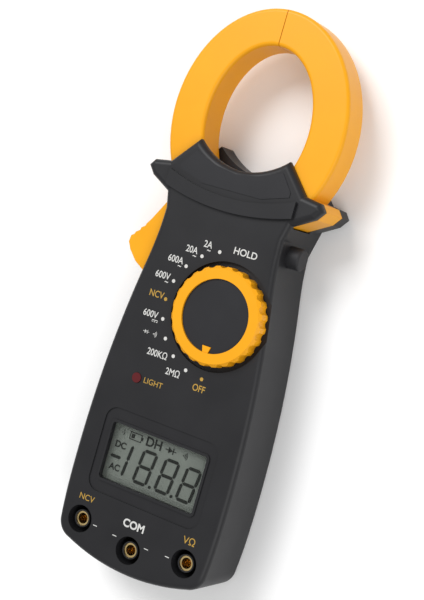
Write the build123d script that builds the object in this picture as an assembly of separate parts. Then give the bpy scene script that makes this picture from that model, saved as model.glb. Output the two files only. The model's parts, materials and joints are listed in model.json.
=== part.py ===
"""Clamp meter, lying on its flat back.  Millimetres.

X runs across the case, +Y towards the jaws and +Z out of the display.
The origin is on the back face, on the centreline, level with the dial's axis.
"""
from build123d import *
import os

os.makedirs("parts", exist_ok=True)

# ---------------------------------------------------------------- driving sizes
FACE_Z = 28.0           # front face above the flat back
PART_Z = 17.4           # where the two case shells meet
WALL = 2.2              # side walls
FRONT_WALL = 2.4        # front panel
BACK_WALL = 3.4         # back panel, thick enough for the door's step
FRONT_ROUND = 2.2       # front edge rounding
BACK_ROUND = 2.6        # back edge rounding
BOTTOM_Y = -103.2       # bottom end of the case
SADDLE_Y = 53.2         # lowest point of the saddle between the barrier's peaks

JAW_Y = 72.0            # centre of the jaw ring
JAW_OUT = (36.0, 42.7)  # outer half-width and half-height of the ring
JAW_IN = (21.3, 28.8)   # inner half-width and half-height of the ring
JAW_Z = (10.0, 24.2)    # back and front faces of the jaws
JAW_GAP = 0.3           # air between the jaws and the barrier plates
JAW_WALL = 1.8          # jaw shell
SEAM = 0.15             # half of the closed seam between the jaws
PIVOT = (-19.5, 43.0)   # hinge of the moving jaw
PIVOT_R = 9.0           # round root of the moving jaw
PIN_R = 2.5             # hinge pin
RUN = 0.05              # running clearance on radius

DIAL = (9.8, 0.0)       # axis of the dial
RING_R = 18.5           # dial ring at the tips of its scallops
SCALLOPS = 24           # hollows around the ring
CAP_R = 13.7            # dark disc in the ring
DIAL_TOP = 32.0         # top of the ring
DISH_R = 20.4           # sunk circle around the dial
DISH_Z = 26.0           # floor of that circle
SHAFT_R = 6.0           # dial shaft

LCD_Y = -60.94          # centre of the display
LCD = (42.0, 22.0)      # clear opening
LCD_LIP = 2.0           # how far the window reaches under the panel
BOARD_Z = (14.0, 15.6)  # circuit board

SOCKETS = {"left": (-23.66, -89.74), "com": (0.0, -93.69), "right": (23.66, -89.74)}
SOCKET_BORE_R = 2.05    # takes a 4 mm plug
SOCKET_R = 2.75         # brass tube
SLEEVE_R = 3.35         # plastic tube around the brass
WELL_R = 5.25           # shroud recess
WELL_FLOOR = 10.0       # bottom of the shroud recess

KEY_Y = 28.0            # HOLD key
KEY_R = 4.15
KEY_TIP = 30.7
KEY_TRAVEL = 1.5

CELL_R, CELL_L = 5.2, 44.5           # AAA cells
CELL_X, CELL_Z = 5.6, 7.9
BAY_Y = (-76.3, -29.3)               # battery bay
BAY_X = 11.8
DOOR_Y = (-88.0, -26.0)
DOOR_X = 15.0
DOOR_T = 1.9
FIT = 0.3                            # gap around loose covers
DOOR_SCREW = (0.0, -83.0)
CASE_SCREWS = [(-11.8, -94.0), (11.8, -94.0), (-4.5, 36.0), (21.0, 17.0)]
BOARD_POSTS = [(-27.5, -44.0), (27.5, -44.0), (-27.5, -76.0), (27.5, -76.0)]
LED = (-16.6, -31.4)
LED_R = 1.9

PARTS = {}


def part(name, shape):
    """Write one named piece."""
    PARTS[name] = shape
    export_step(shape, f"parts/{name}.step")


# ---------------------------------------------------------------- simple shapes
def rod(x, y, r, z0, z1):
    """Round bar along Z."""
    return Pos(x, y, z0) * extrude(Circle(r), z1 - z0)


def tube(x, y, r_in, r_out, z0, z1):
    """Round tube along Z."""
    return rod(x, y, r_out, z0, z1) - rod(x, y, r_in, z0 - 1, z1 + 1)


def box(x0, x1, y0, y1, z0, z1):
    """Box between two corners."""
    size = (x1 - x0, y1 - y0, z1 - z0)
    return Pos((x0 + x1) / 2, (y0 + y1) / 2, (z0 + z1) / 2) * Box(*size)


def slab(face, z0, z1):
    """A flat outline raised between two heights."""
    return Pos(0, 0, z0) * extrude(face, z1 - z0, dir=(0, 0, 1))


def rect(x0, x1, y0, y1):
    """Rectangle between two corners."""
    return Pos((x0 + x1) / 2, (y0 + y1) / 2) * Rectangle(x1 - x0, y1 - y0)


def rounded(width, height, radius, x=0.0, y=0.0):
    """Rectangle with round corners."""
    return Pos(x, y) * RectangleRounded(width, height, radius)


def ring(grow_in, grow_out):
    """The jaws' oval ring, with its inner and outer edges moved."""
    outer = Ellipse(JAW_OUT[0] - grow_out, JAW_OUT[1] - grow_out)
    inner = Ellipse(JAW_IN[0] + grow_in, JAW_IN[1] + grow_in)
    return Pos(0, JAW_Y) * (outer - inner)


# ---------------------------------------------------------------- case outline
def half_outline(inset=0.0):
    """Right half of the case without its ears, pulled in by the inset."""
    d = inset
    bottom = ThreePointArc((0, BOTTOM_Y + d), (13.5, BOTTOM_Y + 1.1 + d), (27 - d, -98.7 + d))
    corner = ThreePointArc((27 - d, -98.7 + d), (31.2 - d, -96.2 + d), (33 - d, -91.5 + d / 2))
    side = Spline((33 - d, -91.5 + d / 2), (34 - d, -66), (32 - d, -22), (28.3 - d, 6.4),
                  (25.4 - d, 33), tangents=((0.1, 1), (0, 1)))
    neck = Line((25.4 - d, 33), (29.4 - d, 49.6 - d))
    slope = Line((29.4 - d, 49.6 - d), (19 - d, 61 - 1.4 * d))
    saddle = ThreePointArc((19 - d, 61 - 1.4 * d), (10, 55.3 - d), (0, SADDLE_Y - d))
    spine = Line((0, SADDLE_Y - d), (0, BOTTOM_Y + d))
    return make_face(Wire([bottom, corner, side, neck, slope, saddle, spine]))


def outline(inset=0.0):
    """The whole case without its ears."""
    half = half_outline(inset)
    return half + mirror(half, Plane.YZ)


def ear():
    """The finger guard that stands out on the right."""
    tip = Polygon((20, 36), (26.2, 38.6), (34.9, 43.4), (37.6, 46.8), (35.6, 49.4), (28, 50.5),
                  (18, 50), align=None)
    return tip


def barrier_outline():
    """The case outline with both ears."""
    return outline() + ear() + mirror(ear(), Plane.YZ)


def jaw_passage():
    """Everything that the jaws and the trigger need to pass through the case."""
    z0, z1 = JAW_Z[0] - JAW_GAP, JAW_Z[1] + JAW_GAP
    upper = box(-45, 45, 38.0, 130, z0, z1)
    trigger_side = box(-45, -9.0, 4.8, 38.1, z0, z1)
    base = slab(ring(-1, -0.4) & rect(-1, 45, 25, 60), z0, z1)
    return upper + trigger_side + base


def key_hole():
    return Pos(22, KEY_Y, PART_Z) * Rot(0, 90, 0) * extrude(Circle(KEY_R + RUN), 20)


def soften(solid, height, radius, reach):
    """Round the edges of the outline that lie at one height, below the barrier."""
    edges = [e for e in solid.edges()
             if abs(e.bounding_box().min.Z - height) < 0.01
             and abs(e.bounding_box().max.Z - height) < 0.01
             and e.bounding_box().max.Y < reach]
    return fillet(edges, radius)


# ---------------------------------------------------------------- front shell
def front_case():
    shell = slab(barrier_outline(), PART_Z, FACE_Z)
    shell = soften(shell, FACE_Z, FRONT_ROUND, 200)
    shell -= slab(outline(WALL), PART_Z - 1, FACE_Z - FRONT_WALL)
    wells = Part()
    for x, y in SOCKETS.values():
        wells += rod(x, y, WELL_R + 1.2, WELL_FLOOR - 1.5, FACE_Z - 1)
    for x, y in BOARD_POSTS:
        wells += tube(x, y, 0.9, 2.4, BOARD_Z[1], FACE_Z - FRONT_WALL)
    for x, y in CASE_SCREWS:
        wells += tube(x, y, 1.35, 3.0, JAW_Z[0] - JAW_GAP, FACE_Z - FRONT_WALL)
    shell += wells
    shell -= jaw_passage() - rod(*CASE_SCREWS[2], 3.0, 0, FACE_Z)
    for x, y in SOCKETS.values():
        shell -= tube(x, y, SLEEVE_R, WELL_R, WELL_FLOOR, FACE_Z + 1)
        shell -= rod(x, y, SLEEVE_R, FACE_Z - 1.7, FACE_Z + 1)
        shell -= rod(x, y, SOCKET_R + RUN, 0, FACE_Z)
    x, y = DIAL
    shell += rod(x, y, DISH_R + 0.6, JAW_Z[1] + JAW_GAP, DISH_Z) & slab(outline(0.5), 0, FACE_Z)
    shell -= rod(x, y, DISH_R, DISH_Z, FACE_Z + 1)
    shell -= rod(x, y, SHAFT_R + RUN, 20, FACE_Z)
    shell -= slab(rounded(*LCD, 1.2, 0, LCD_Y), 20, FACE_Z + 1)
    shell -= slab(rounded(50, 33, 5, 0, LCD_Y) - rounded(44, 24, 2, 0, LCD_Y), FACE_Z - 0.5, FACE_Z + 1)
    shell -= rod(*LED, LED_R + RUN, 20, FACE_Z + 1)
    shell -= key_hole()
    shell -= rod(*PIVOT, PIN_R + 0.02, 20, FACE_Z - 1.5)
    return shell


# ---------------------------------------------------------------- back shell
def back_case():
    shell = slab(outline(), 0, PART_Z)
    shell = soften(shell, 0, BACK_ROUND, 34)
    shell += slab(barrier_outline(), 3.0, JAW_Z[0] - JAW_GAP)
    shell -= slab(outline(WALL) & rect(-50, 50, -110, 30), BACK_WALL, PART_Z + 1)
    shell -= slab(outline(WALL) & rect(-50, 50, 29.9, 70), JAW_Z[0] - JAW_GAP, PART_Z + 1)
    bay = box(-BAY_X - 1.2, BAY_X + 1.2, BAY_Y[0] - 1.2, BAY_Y[1] + 1.2, 2.0, 13.6)
    shell += bay
    for x, y in CASE_SCREWS:
        shell += rod(x, y, 3.2, 1.0, JAW_Z[0] - JAW_GAP)
    shell += rod(*DOOR_SCREW, 2.8, 2.0, 8.0)
    shell -= jaw_passage()
    shell -= box(-BAY_X, BAY_X, *BAY_Y, -1, 14)
    shell -= box(-DOOR_X - FIT, DOOR_X + FIT, DOOR_Y[0] - FIT, DOOR_Y[1] + FIT, -1, DOOR_T + 0.1)
    for x, y in CASE_SCREWS:
        shell -= rod(x, y, 2.8, -1, 3.0)
        shell -= rod(x, y, 1.5, 0, 10.5)
    shell -= rod(*DOOR_SCREW, 1.3, 0, 9)
    shell -= rod(*PIVOT, PIN_R + 0.02, 2.0, 12)
    shell -= rod(*PIVOT, 5.2, 7.5, 12)
    shell -= key_hole()
    return shell


# ---------------------------------------------------------------- jaws
def trigger():
    """Ridged thumb lever below the moving jaw."""
    return Polygon((-25.4, 37.9), (-31.8, 26.8), (-33.2, 24.9), (-33.4, 24.0), (-35, 22.8), (-35.2, 21.8),
                   (-36.8, 20.7), (-37.2, 19.7), (-38.4, 18.9), (-38.7, 16.4), (-37.1, 13.6), (-33.6, 10),
                   (-30, 7.9), (-27, 6.1), (-23, 7.4), (-21, 20), (-16, 36), align=None)


def moving_outline():
    upper = ring(0, 0) & rect(-50, -SEAM, 50, 130)
    root = ring(0, 0) & rect(-50, PIVOT[0], PIVOT[1], 50.1)
    return upper + root + Pos(*PIVOT) * Circle(PIVOT_R) + trigger()


def fixed_outline():
    flare = ear() & rect(15, 50, 38.4, 60)
    return (ring(0, 0) & rect(SEAM, 50, 34, 130)) + flare


def hollow(side):
    """Room for the core inside a jaw: -1 is the moving jaw, 1 the fixed one."""
    room = rect(1.5, 50, 56, 130) if side > 0 else rect(-50, -1.5, 56, 130)
    return slab(ring(JAW_WALL, JAW_WALL) & room, JAW_Z[0] + JAW_WALL, JAW_Z[1] - JAW_WALL)


def jaw_half(face, side, front):
    """Front or back shell of one jaw."""
    mid = sum(JAW_Z) / 2
    z0, z1 = (mid, JAW_Z[1]) if front else (JAW_Z[0], mid)
    shell = slab(face, z0, z1)
    rim = JAW_Z[1] if front else JAW_Z[0]
    edges = [e for e in shell.edges() if abs(e.center().Z - rim) < 0.01
             and e.bounding_box().max.Z - e.bounding_box().min.Z < 0.01
             and e.length > 25]
    shell = fillet(edges, 1.4)
    shell -= hollow(side)
    if side < 0:
        shell -= rod(*PIVOT, PIN_R + RUN, 0, 30)
    return shell


def core(side):
    room = rect(1.6, 50, 58, 130) if side > 0 else rect(-50, -1.6, 58, 130)
    return slab(ring(4, 4) & room, 13.4, 20.8)


def coil(side):
    room = rect(1.6, 50, 62, 84) if side > 0 else rect(-50, -1.6, 62, 84)
    winding = slab(ring(2.2, 2.2) & room, JAW_Z[0] + JAW_WALL, JAW_Z[1] - JAW_WALL)
    return winding - slab(ring(3.9, 3.9) & room, 13.3, 20.9)


# ---------------------------------------------------------------- dial
def knob_ring():
    """Scalloped ring on a web, with a pointer towards OFF."""
    x, y = DIAL
    body = rod(x, y, RING_R, DISH_Z + 0.2, DIAL_TOP)
    body = chamfer(body.edges().group_by(Axis.Z)[-1], 1.1)
    for i in range(SCALLOPS):
        hollow_at = Pos(x, y) * Rot(0, 0, 360 / SCALLOPS * (i + 0.5)) * Pos(RING_R + 1.25, 0)
        body -= hollow_at * Pos(0, 0, DISH_Z) * extrude(Circle(2.0), 10)
    well = rod(x, y, CAP_R, DIAL_TOP - 3.8, DIAL_TOP + 1)
    pointer = slab(Polygon((x - 1.75, y - 11.3), (x + 1.75, y - 11.3), (x + 1.0, y - CAP_R - 0.5),
                           (x - 1.0, y - CAP_R - 0.5), align=None), DIAL_TOP - 3.8, DIAL_TOP - 0.4)
    return body - well + pointer - rod(x, y, SHAFT_R + RUN, 20, DIAL_TOP - 3.8)


def knob_cap():
    x, y = DIAL
    disc = rod(x, y, CAP_R - RUN, DIAL_TOP - 3.8, DIAL_TOP - 0.8)
    notch = Polygon((x - 1.85, y - 11.2), (x + 1.85, y - 11.2), (x + 1.4, y - CAP_R - 1),
                    (x - 1.4, y - CAP_R - 1), align=None)
    return disc - slab(notch, 20, 40)


def dial_rotor():
    x, y = DIAL
    return rod(x, y, 14.0, 17.2, 19.2) + rod(x, y, SHAFT_R, 19.2, DIAL_TOP - 3.8)


def dial_wipers():
    x, y = DIAL
    blades = [Pos(x, y) * Rot(0, 0, 120 * i) * box(8.5, 12.5, -1, 1, 15.95, 17.2) for i in range(3)]
    return Compound(blades)


# ---------------------------------------------------------------- inside
def main_board():
    lower = rect(-30, 30, -80, -25) + rect(-26.5, 26.5, -25.1, 2) + rect(-5, 16.4, 1.9, 30)
    board = slab(lower, *BOARD_Z)
    for x, y in BOARD_POSTS:
        board -= rod(x, y, 1.1, 10, 20)
    return board


def screw(x, y, z_head, head_r, head_h, shank_r, length):
    """A screw driven towards +Z, with a cross recess in its head."""
    body = rod(x, y, head_r, z_head, z_head + head_h)
    body += rod(x, y, shank_r, z_head + head_h, z_head + head_h + length)
    for turn in (0, 90):
        body -= Pos(x, y, z_head + 0.3) * Rot(0, 0, turn) * Box(head_r * 1.2, 0.6, 1.0)
    return body


def socket(x, y):
    """Turned brass tube for a 4 mm plug, with a solder tail."""
    tail = rod(x, y, 1.4, 6.0, WELL_FLOOR - 1.0)
    return tail + rod(x, y, SOCKET_R, WELL_FLOOR - 1.0, 25.8) - rod(x, y, SOCKET_BORE_R, 11.0, 30)


def hold_key():
    stem = Rot(0, 90, 0) * extrude(Circle(KEY_R), KEY_TIP - 18.6)
    stem = fillet(stem.edges().sort_by(Axis.X)[-1], 0.9)
    flange = Pos(1.9, 0, 0) * Rot(0, 90, 0) * extrude(Circle(KEY_R + 0.8), 1.6)
    return Pos(18.6, KEY_Y, PART_Z) * (stem + flange)


def battery_door():
    plate = box(-DOOR_X, DOOR_X, *DOOR_Y, 0, DOOR_T)
    plate += box(-BAY_X + 0.5, BAY_X - 0.5, BAY_Y[0] + 0.5, BAY_Y[1] - 0.5, DOOR_T, 2.5)
    for i in range(5):
        plate -= box(-7, 7, -37 + 2.2 * i, -36 + 2.2 * i, -1, 0.5)
    return plate - rod(*DOOR_SCREW, 2.4, -1, 1.0) - rod(*DOOR_SCREW, 1.3, 0, 5)


def lcd_frame():
    outer = rounded(50, 28, 1, 0, LCD_Y)
    inner = rounded(46, 25, 1, 0, LCD_Y)
    lugs = slab(rounded(50, 28, 1, 0, LCD_Y) - rounded(36, 19, 1, 0, LCD_Y), 21.0, 22.4)
    strips = slab(rect(-20.1, 20.1, LCD_Y - 12.1, LCD_Y - 9.9) + rect(-20.1, 20.1, LCD_Y + 9.9, LCD_Y + 12.1),
                  20, 23)
    return slab(outer - inner, BOARD_Z[1], 22.4) + lugs - strips


def cells():
    one = Rot(90, 0, 0) * Cylinder(CELL_R, CELL_L - 1.0)
    tip = Rot(90, 0, 0) * Cylinder(1.9, 1.0)
    mid = (BAY_Y[0] + BAY_Y[1]) / 2
    pair = []
    for side in (-1, 1):
        pair.append(Pos(side * CELL_X, mid, CELL_Z) * (one + Pos(0, side * (CELL_L / 2 - 0.3), 0) * tip))
    return Compound(pair)


def battery_contacts():
    y0, y1 = BAY_Y
    plates = [box(-10.6, 10.6, y0 + 0.1, y0 + 0.9, 3.2, 12.6), box(-10.6, -0.6, y1 - 0.9, y1 - 0.1, 3.2, 12.6),
              box(0.6, 10.6, y1 - 0.9, y1 - 0.1, 3.2, 12.6)]
    return Compound(plates)


# ---------------------------------------------------------------- build
part("front_case", front_case())
part("back_case", back_case())
for front, word in ((True, "front"), (False, "back")):
    part(f"fixed_jaw_{word}", jaw_half(fixed_outline(), 1, front))
    part(f"moving_jaw_{word}", jaw_half(moving_outline(), -1, front))
for side, word in ((1, "fixed"), (-1, "moving")):
    part(f"{word}_core", core(side))
    part(f"{word}_coil", coil(side))
part("jaw_pin", rod(*PIVOT, PIN_R, 2.2, FACE_Z - 1.6))
part("jaw_spring", tube(*PIVOT, 3.0, 5.0, 7.6, 9.6))
part("knob_ring", knob_ring())
part("knob_cap", knob_cap())
part("dial_rotor", dial_rotor())
part("dial_wipers", dial_wipers())
part("dial_contacts", tube(*DIAL, 8.0, 13.0, BOARD_Z[1], 15.9))
part("main_board", main_board())
part("board_screws", Compound([screw(x, y, 12.8, 2.0, 1.2, 0.85, 7) for x, y in BOARD_POSTS]))
part("case_screws", Compound([screw(x, y, 1.0, 2.6, 2.0, 1.3, 10) for x, y in CASE_SCREWS]))
part("lcd_window", slab(rounded(LCD[0] + 4, LCD[1] + 4, 1.5, 0, LCD_Y), 24.4, FACE_Z - FRONT_WALL))
part("lcd_glass", box(-23, 23, LCD_Y - 13, LCD_Y + 13, 22.4, 24.4))
part("lcd_frame", lcd_frame())
part("zebra_strips", Compound([box(-20, 20, LCD_Y + s * 11 - 1, LCD_Y + s * 11 + 1, BOARD_Z[1], 22.4)
                               for s in (-1, 1)]))
part("controller_chip", box(-20, -8, -22, -10, BOARD_Z[1], 17.2))
part("crystal", box(-24, -20.5, -9, 0, BOARD_Z[1], 18.8))
part("capacitors", Compound([rod(4 + 7 * i, -36, 2.5, BOARD_Z[1], 21.0) for i in range(3)]))
part("thermistor", Pos(24, -28, 19.6) * Rot(90, 0, 0) * extrude(Circle(4.0), 3.0))
part("trimmer", box(17.5, 22.5, -45.5, -40.5, BOARD_Z[1], 20.5))
part("buzzer", rod(14, -14, 7.0, 10.0, BOARD_Z[0]))
part("status_led", rod(*LED, LED_R, BOARD_Z[1], FACE_Z + 0.4))
for word, (x, y) in SOCKETS.items():
    part(f"{word}_socket", socket(x, y))
part("hold_key", hold_key())
part("hold_switch", box(11.0, 16.4, KEY_Y - 2.8, KEY_Y + 1.9, BOARD_Z[1], 19.4))
part("battery_cells", cells())
part("battery_contacts", battery_contacts())
part("battery_door", battery_door())
part("door_screw", screw(*DOOR_SCREW, 0.1, 2.2, 0.85, 1.2, 5))

whole = Compound(list(PARTS.values()))
size = whole.bounding_box().size
print(len(PARTS), "nodes,", round(size.X, 1), "x", round(size.Y, 1), "x", round(size.Z, 1), "mm")
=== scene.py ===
# %% [markdown]
# # Clamp meter
# The meter lies on its back: X across, +Y towards the jaws, +Z out of the display.
# Sizes are in metres and come from the frame wherever it has them.

# %% Load the frame
import json
import math
import bmesh
import bpy
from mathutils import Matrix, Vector


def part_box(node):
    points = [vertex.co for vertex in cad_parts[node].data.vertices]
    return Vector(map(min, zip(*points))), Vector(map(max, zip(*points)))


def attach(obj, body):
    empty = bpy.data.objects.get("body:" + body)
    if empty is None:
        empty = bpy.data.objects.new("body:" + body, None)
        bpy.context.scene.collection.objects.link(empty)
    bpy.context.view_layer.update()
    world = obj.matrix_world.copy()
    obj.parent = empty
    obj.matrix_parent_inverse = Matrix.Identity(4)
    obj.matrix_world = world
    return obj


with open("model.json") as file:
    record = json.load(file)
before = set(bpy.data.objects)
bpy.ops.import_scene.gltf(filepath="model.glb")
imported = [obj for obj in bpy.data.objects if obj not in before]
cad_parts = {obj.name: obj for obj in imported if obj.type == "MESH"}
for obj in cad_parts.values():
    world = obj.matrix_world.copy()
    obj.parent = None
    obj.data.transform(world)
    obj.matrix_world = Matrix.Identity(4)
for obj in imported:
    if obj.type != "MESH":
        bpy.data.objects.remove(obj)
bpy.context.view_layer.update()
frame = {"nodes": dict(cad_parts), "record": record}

MM = 0.001
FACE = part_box("front_case")[1][2]
KNOB_LOW, KNOB_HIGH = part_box("knob_ring")
DIAL = ((KNOB_LOW[0] + KNOB_HIGH[0]) / 2, (KNOB_LOW[1] + KNOB_HIGH[1]) / 2)
GLASS_LOW, GLASS_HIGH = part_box("lcd_window")
LCD = (0.0, (GLASS_LOW[1] + GLASS_HIGH[1]) / 2)
print("nodes in the frame:", len(frame["nodes"]))


# %% [markdown]
# ## Shader maths
# One class wraps a socket, so that masks and noise are written as plain sums and products.

# %% Shader expressions
class Val:
    """A value socket that can be added and multiplied."""

    def __init__(self, tree, socket):
        self.tree = tree
        self.socket = socket

    def maths(self, operation, other):
        node = self.tree.nodes.new("ShaderNodeMath")
        node.operation = operation
        for slot, value in zip(node.inputs, (self, other)):
            if isinstance(value, Val):
                self.tree.links.new(value.socket, slot)
            else:
                slot.default_value = value
        return Val(self.tree, node.outputs[0])

    def __add__(self, other):
        return self.maths("ADD", other)

    def __mul__(self, other):
        return self.maths("MULTIPLY", other)

    __radd__ = __add__
    __rmul__ = __mul__


class Finish:
    """A Principled material with helpers for noise, colour and bump."""

    def __init__(self, name, rough, metal=0.0, coat=0.0, shine=0.5):
        self.material = bpy.data.materials.new(name)
        self.material.use_nodes = True
        self.tree = self.material.node_tree
        self.shader = self.tree.nodes["Principled BSDF"]
        self.shader.inputs["Roughness"].default_value = rough
        self.shader.inputs["Metallic"].default_value = metal
        self.shader.inputs["Coat Weight"].default_value = coat
        self.shader.inputs["Specular IOR Level"].default_value = shine
        self.place = self.node("ShaderNodeTexCoord").outputs["Object"]

    def node(self, kind, settings=None, **inputs):
        made = self.tree.nodes.new(kind)
        for key, value in (settings or {}).items():
            setattr(made, key, value)
        for key, value in inputs.items():
            slot = made.inputs[key]
            if isinstance(value, Val):
                self.tree.links.new(value.socket, slot)
            elif isinstance(value, bpy.types.NodeSocket):
                self.tree.links.new(value, slot)
            else:
                slot.default_value = value
        return made

    def noise(self, scale, detail=3.0):
        made = self.node("ShaderNodeTexNoise", Vector=self.place, Scale=scale, Detail=detail)
        return Val(self.tree, made.outputs["Fac"])

    def blend(self, mask, colour_a, colour_b):
        made = self.node("ShaderNodeMix", {"data_type": "RGBA"})
        self.tree.links.new(mask.socket, made.inputs["Factor"])
        made.inputs[6].default_value = (*colour_a, 1)
        made.inputs[7].default_value = (*colour_b, 1)
        self.tree.links.new(made.outputs[2], self.shader.inputs["Base Color"])

    def rough(self, value):
        self.tree.links.new(value.socket, self.shader.inputs["Roughness"])

    def bump(self, height, strength, distance):
        made = self.node("ShaderNodeBump", Strength=strength, Distance=distance, Height=height)
        self.tree.links.new(made.outputs["Normal"], self.shader.inputs["Normal"])


def moulded(name, dark, light, rough=0.42, grain=2600, strength=0.16, coat=0.0, shine=0.25):
    """Moulded plastic: fine spark texture, faint mottling, uneven sheen."""
    made = Finish(name, rough, coat=coat, shine=shine)
    mottle = made.noise(60)
    made.blend(mottle, dark, light)
    made.rough(mottle * 0.14 + (rough - 0.07))
    made.bump(made.noise(grain) + made.noise(240) * 0.4, strength, 0.00006)
    return made.material


def metal(name, dark, light, rough=0.25, grain=900):
    """Bare metal with fine wear marks."""
    made = Finish(name, rough, metal=1.0)
    wear = made.noise(grain, 6.0)
    made.blend(wear, dark, light)
    made.rough(wear * 0.2 + (rough - 0.1))
    made.bump(wear, 0.1, 0.00004)
    return made.material


def clear(name):
    """Clear window: mostly see-through, with faint dust."""
    made = Finish(name, 0.06)
    made.blend(made.noise(200), (0.55, 0.6, 0.55), (0.6, 0.64, 0.6))
    made.shader.inputs["Alpha"].default_value = 0.03
    made.bump(made.noise(80), 0.03, 0.00005)
    return made.material


def ink(name, colour, rough=0.5, shine=0.25):
    """Screen-printed ink, a little uneven."""
    made = Finish(name, rough, shine=shine)
    made.blend(made.noise(900), tuple(c * 0.86 for c in colour), colour)
    made.bump(made.noise(3000), 0.1, 0.00002)
    return made.material


MATERIALS = {
    "charcoal_case": moulded("charcoal_case", (0.012, 0.012, 0.0135), (0.018, 0.018, 0.020)),
    "yellow_plastic": moulded("yellow_plastic", (0.74, 0.31, 0.004), (0.82, 0.36, 0.006), 0.38),
    "charcoal_knob": moulded("charcoal_knob", (0.013, 0.013, 0.015), (0.020, 0.020, 0.023), 0.45),
    "white_plastic": moulded("white_plastic", (0.72, 0.72, 0.68), (0.80, 0.80, 0.77)),
    "clear_plastic": clear("clear_plastic"),
    "lcd_grey": moulded("lcd_grey", (0.190, 0.215, 0.190), (0.215, 0.240, 0.212), 0.22, 500, 0.02),
    "rubber_key": moulded("rubber_key", (0.016, 0.016, 0.018), (0.026, 0.026, 0.028), 0.55, 3200, 0.2),
    "black_rubber": moulded("black_rubber", (0.02, 0.02, 0.02), (0.035, 0.035, 0.035), 0.7),
    "brass": metal("brass", (0.62, 0.44, 0.17), (0.80, 0.62, 0.30)),
    "steel": metal("steel", (0.52, 0.52, 0.53), (0.68, 0.68, 0.69)),
    "core_steel": metal("core_steel", (0.28, 0.28, 0.29), (0.42, 0.42, 0.43), 0.4),
    "copper_winding": metal("copper_winding", (0.42, 0.15, 0.05), (0.62, 0.25, 0.09), 0.3, 2400),
    "circuit_board": moulded("circuit_board", (0.01, 0.13, 0.05), (0.02, 0.19, 0.07), 0.3, 700, 0.05),
    "black_component": moulded("black_component", (0.012, 0.012, 0.012), (0.025, 0.025, 0.025), 0.5),
    "blue_component": moulded("blue_component", (0.03, 0.08, 0.3), (0.05, 0.12, 0.4), 0.3),
    "red_led": moulded("red_led", (0.07, 0.002, 0.004), (0.10, 0.003, 0.006), 0.2, 400, 0.02, 0.5),
    "cell_jacket": moulded("cell_jacket", (0.08, 0.08, 0.10), (0.13, 0.13, 0.15), 0.25, 500, 0.03),
}
slot_of = {entry["node"]: entry["material_slot"] for entry in frame["record"]["subparts"]}
for name, slot in slot_of.items():
    cad = bpy.data.objects[name]
    cad.data.materials.clear()
    cad.data.materials.append(MATERIALS[slot])
print("finishes:", len(MATERIALS), "on", len(slot_of), "nodes")

WHITE_INK = ink("white_ink", (0.62, 0.62, 0.60))
OCHRE_INK = ink("ochre_ink", (0.46, 0.28, 0.05))
LCD_INK = ink("lcd_ink", (0.004, 0.005, 0.004), 0.6, 0.05)


# %% [markdown]
# ## Lettering
# Labels are flat letters with a little thickness, half of it above the panel and half below.
# Marks are flat shapes that stand on the panel or on the display glass.

# %% Lettering and marks
def keep(mesh_object, material, body="case"):
    mesh_object.data.materials.clear()
    mesh_object.data.materials.append(material)
    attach(mesh_object, body)
    return mesh_object


def label(name, words, x, y, height, material, z=FACE, bold=0.0, wide=1.0):
    """Centred lettering; x, y and height in millimetres."""
    curve = bpy.data.curves.new(name, "FONT")
    curve.body = words
    curve.align_x = "CENTER"
    curve.align_y = "CENTER"
    curve.size = height * 1.38 * MM
    curve.extrude = 0.03 * MM
    curve.offset = bold * MM
    made = bpy.data.objects.new(name + "_type", curve)
    bpy.context.collection.objects.link(made)
    bpy.context.view_layer.update()
    mesh = bpy.data.meshes.new_from_object(made)
    bpy.data.objects.remove(made)
    for vertex in mesh.vertices:
        vertex.co = (vertex.co.x * wide + x * MM, vertex.co.y + y * MM, vertex.co.z + z)
    piece = bpy.data.objects.new(name, mesh)
    bpy.context.collection.objects.link(piece)
    return keep(piece, material)


def marks(name, shapes, material, z=FACE, thick=0.03):
    """Raised flat marks; each shape is a list of corners in millimetres, anticlockwise."""
    shell = bmesh.new()
    for corners in shapes:
        face = shell.faces.new([shell.verts.new((x * MM, y * MM, z)) for x, y in corners])
        grown = bmesh.ops.extrude_face_region(shell, geom=[face])
        moved = [item for item in grown["geom"] if isinstance(item, bmesh.types.BMVert)]
        bmesh.ops.translate(shell, verts=moved, vec=(0, 0, thick * MM))
    bmesh.ops.recalc_face_normals(shell, faces=shell.faces)
    mesh = bpy.data.meshes.new(name)
    shell.to_mesh(mesh)
    shell.free()
    piece = bpy.data.objects.new(name, mesh)
    bpy.context.collection.objects.link(piece)
    return keep(piece, material)


def disc(x, y, radius, sides=24):
    """Corners of a round dot."""
    turns = [2 * math.pi * i / sides for i in range(sides)]
    return [(x + radius * math.cos(t), y + radius * math.sin(t)) for t in turns]


STEP_DEG = 18
DOT_R = 23.8
POSITIONS = [("2A", -3, 24), ("20A", -9, 20.5), ("600A", -14.5, 15.3), ("600V", -18, 8.2),
             ("NCV", -18.3, 0.7), ("600V", -18.5, -7), ("", -15.5, -13.8), ("200KΩ", -11, -20.5),
             ("2MΩ", -2.5, -25.3), ("OFF", 9.7, -27.5)]
dial_x, dial_y = DIAL[0] / MM, DIAL[1] / MM
white_dots, ochre_dots = [], []
for index, (words, x, y) in enumerate(POSITIONS):
    turn = math.radians(108 + STEP_DEG * index)
    ochre = words in ("NCV", "OFF")
    dot = disc(dial_x + DOT_R * math.cos(turn), dial_y + DOT_R * math.sin(turn), 0.7)
    (ochre_dots if ochre else white_dots).append(dot)
    if not words:
        continue
    label(f"range_label_{index}", words, x, y, 2.6, OCHRE_INK if ochre else WHITE_INK, bold=0.03, wide=0.86)
marks("range_dots", white_dots, WHITE_INK)
marks("special_dots", ochre_dots, OCHRE_INK)
label("hold_label", "HOLD", 12.8, 24.7, 2.6, WHITE_INK, bold=0.05)
label("light_label", "LIGHT", -9.3, -31.4, 2.2, OCHRE_INK)
label("left_label", "NCV", -23.2, -81.3, 2.4, OCHRE_INK)
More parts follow.
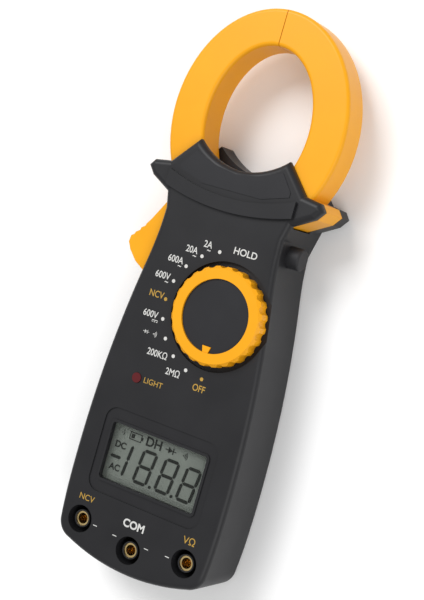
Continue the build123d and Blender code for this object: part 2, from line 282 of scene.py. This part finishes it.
label("com_label", "COM", -0.4, -84.2, 3.0, WHITE_INK, bold=0.12)
label("right_label", "VΩ", 23.4, -81.4, 2.8, OCHRE_INK)
print("labels:", len(POSITIONS) + 5)


# %% [markdown]
# ## Display
# Three slanted eights, the leading one and the small signs lie on the glass under the window.

# %% Display segments
SEG_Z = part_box("lcd_glass")[1][2] + 0.05 * MM
SLANT = math.tan(math.radians(7))


def bar(x0, y0, x1, y1, half):
    """One six-sided segment between two points."""
    along = Vector((x1 - x0, y1 - y0))
    unit = along.normalized()
    side = Vector((-unit.y, unit.x)) * half
    inner = unit * half
    ends = Vector((x0, y0)), Vector((x1, y1))
    return [ends[0], ends[0] + inner - side, ends[1] - inner - side, ends[1], ends[1] - inner + side,
            ends[0] + inner + side]


def slanted(shape):
    return [(p[0] + SLANT * (p[1] - LCD[1] / MM), p[1]) for p in shape]


def eight(x, y, high, half, wide=5.6):
    """Seven segments around a centre."""
    left, right, low, top = x - wide / 2, x + wide / 2, y - high / 2, y + high / 2
    gap = 0.14
    flat = [bar(left + gap, level, right - gap, level, half) for level in (low, y, top)]
    tall = [bar(edge, a + gap, edge, b - gap, half)
            for edge in (left, right) for a, b in ((low, y), (y, top))]
    return flat + tall


DIGIT_Y = LCD[1] / MM - 2.1       # middle of the digits
SIGN_Y = LCD[1] / MM + 7.6        # middle of the row of small signs
HALF_DIGIT = 6.2
ONE_X = -12.4                     # the leading one
STROKE = 0.62                     # half the width of a segment
FILM = 0.1                        # how far the segments stand off the glass
segments = []
for x in (-4.3, 5.6, 15.2):
    segments += eight(x, DIGIT_Y, high=2 * HALF_DIGIT, half=STROKE)
segments += [bar(ONE_X, DIGIT_Y, ONE_X, DIGIT_Y + HALF_DIGIT, STROKE),
             bar(ONE_X, DIGIT_Y - HALF_DIGIT, ONE_X, DIGIT_Y, STROKE)]
segments.append(bar(-20.2, DIGIT_Y, -15.4, DIGIT_Y, 0.6))
segments += [disc(x, DIGIT_Y - HALF_DIGIT, 0.6) for x in (0.5, 10.3)]
marks("lcd_digits", [slanted(segment) for segment in segments], LCD_INK, SEG_Z, FILM)


def box_mark(x0, x1, y0, y1):
    """Corners of a plain rectangle."""
    return [(x0, y0), (x1, y0), (x1, y1), (x0, y1)]


def diode(x, y, size):
    """Diode sign: lead, arrow head and bar."""
    line = box_mark(x - 1.4 * size, x + 1.4 * size, y - 0.09 * size, y + 0.09 * size)
    head = [(x - 0.6 * size, y - 0.7 * size), (x + 0.5 * size, y), (x - 0.6 * size, y + 0.7 * size)]
    return [line, head, box_mark(x + 0.5 * size, x + 0.75 * size, y - 0.7 * size, y + 0.7 * size)]


def wave(x, y, radius, thick):
    """One arc of the sounder sign."""
    turns = [math.radians(-50 + 10 * i) for i in range(11)]
    far = [(x + (radius + thick) * math.cos(t), y + (radius + thick) * math.sin(t)) for t in turns]
    near = [(x + radius * math.cos(t), y + radius * math.sin(t)) for t in reversed(turns)]
    return far + near


def sounder(x, y, size):
    """Sounder sign: a dot and three arcs."""
    return [disc(x, y, 0.28 * size)] + [wave(x, y, r * size, 0.2 * size) for r in (0.7, 1.25, 1.8)]


battery = [box_mark(x0, x1, SIGN_Y + low, SIGN_Y + high)
           for x0, x1, low, high in ((-14.6, -9.2, -1.5, -1.2), (-14.6, -9.2, 1.2, 1.5),
                                     (-14.6, -14.3, -1.2, 1.2), (-9.5, -9.2, -1.2, 1.2),
                                     (-9.2, -8.6, -0.6, 0.6), (-13.8, -12.4, -0.8, 0.8))]
clock = [wave(-18.2, SIGN_Y, 1.0, 0.25), wave(-18.2, SIGN_Y, 0.0, 0.4)]
signs = battery + clock + diode(4.0, SIGN_Y, 1.7) + sounder(9.6, SIGN_Y, 0.95)
marks("lcd_signs", signs, LCD_INK, SEG_Z, FILM)
for name, words, x, y, high in (("lcd_dc", "DC", -17.3, 2.6, 2.5), ("lcd_ac", "AC", -17.3, -6.2, 2.5),
                                ("lcd_hold", "DH", -3.6, 7.6, 3.6)):
    label(name, words, x, LCD[1] / MM + y, high, LCD_INK, SEG_Z, bold=0.12)
print("display segments:", len(segments))

# %% [markdown]
# ## Panel trims
# Short printed dashes sit between the sockets, the range signs complete the dial's labels,
# and an arched rib and a bare raised panel lie on the barrier.

# %% Panel trims
dashes = [box_mark(x - 0.9, x + 0.9, y - 0.15, y + 0.15)
          for x, y in ((-16.4, -89.9), (-7.2, -90.4), (7.2, -90.4), (16.4, -89.9))]
marks("socket_dashes", dashes, WHITE_INK)
marks("diode_sign", diode(-18.2, -13.8, 0.95) + sounder(-14.9, -13.8, 0.75), WHITE_INK)
for index, x, y in ((0, -2.1, 22.1), (1, -7.3, 18.6), (2, -12.2, 13.4), (3, -15.7, 6.3)):
    label(f"alternating_{index}", "~", x, y, 1.9, WHITE_INK, bold=0.05)
direct = [box_mark(-17.2, -14.6, -8.9, -8.65)]
direct += [box_mark(x, x + 0.6, -9.5, -9.25) for x in (-17.2, -16.2, -15.2)]
marks("direct_sign", direct, WHITE_INK)


def arch(x, rise, base):
    """Height of the barrier's arched rib at a place across it."""
    return base + rise * (x / 29) ** 2


steps = [-27 + 54 * i / 48 for i in range(49)]
lower = [(x, arch(x, 4.6, 37.4)) for x in steps]
upper = [(x, arch(x, 6.0, 42.4)) for x in reversed(steps)]
marks("barrier_rib", [lower + upper], MATERIALS["charcoal_case"], FACE - 0.2 * MM, 1.6)
panel = [(-18.5, 56.4), (-23.4, 50.2), (-23.4, 48.4), (-12.5, 45.2), (12.5, 45.2), (23.4, 48.4),
         (23.4, 50.2), (18.5, 56.4), (9, 52.9), (0, 51.6), (-9, 52.9)]
marks("barrier_panel", [panel], MATERIALS["charcoal_knob"], FACE - 0.1 * MM, 0.35)

# %% [markdown]
# ## Stage, light and camera
# A pale sheet lies under the meter, with two soft lamps and an even white sky around it.

# %% Stage
floor_mesh = bpy.data.meshes.new("floor")
shell = bmesh.new()
bmesh.ops.create_grid(shell, x_segments=1, y_segments=1, size=4.0)
shell.to_mesh(floor_mesh)
shell.free()
floor = bpy.data.objects.new("floor", floor_mesh)
bpy.context.collection.objects.link(floor)
floor_finish = Finish("floor_paper", 0.9)
floor_finish.blend(floor_finish.noise(8), (0.90, 0.90, 0.90), (0.93, 0.93, 0.93))
floor_mesh.materials.append(floor_finish.material)


def lamp(name, place, size, power):
    """Soft square light that faces the meter."""
    light = bpy.data.lights.new(name, "AREA")
    light.size = size
    light.energy = power
    made = bpy.data.objects.new(name, light)
    made.location = place
    made.rotation_euler = (-Vector(place)).to_track_quat("-Z", "Y").to_euler()
    bpy.context.collection.objects.link(made)


lamp("key", (-0.5, 0.7, 1.1), 0.7, 14)
lamp("fill", (0.9, -0.3, 0.9), 0.9, 7)
world = bpy.data.worlds.new("studio")
world.use_nodes = True
world.node_tree.nodes["Background"].inputs["Color"].default_value = (1, 1, 1, 1)
world.node_tree.nodes["Background"].inputs["Strength"].default_value = 0.55
scene = bpy.context.scene
scene.world = world
scene.view_settings.view_transform = "Standard"

camera = bpy.data.cameras.new("camera")
camera.sensor_width = 36
camera.lens = 81.4
viewer = bpy.data.objects.new("camera", camera)
VIEW_PLACE = (0.2349, 0.0371, 0.4667)
VIEW_TURNS = (4.77, 27.52, 18.17)     # degrees about X, Y and Z
viewer.location = VIEW_PLACE
viewer.rotation_euler = [math.radians(turn) for turn in VIEW_TURNS]
bpy.context.collection.objects.link(viewer)
scene.camera = viewer

# %% Finish
bpy.context.view_layer.update()
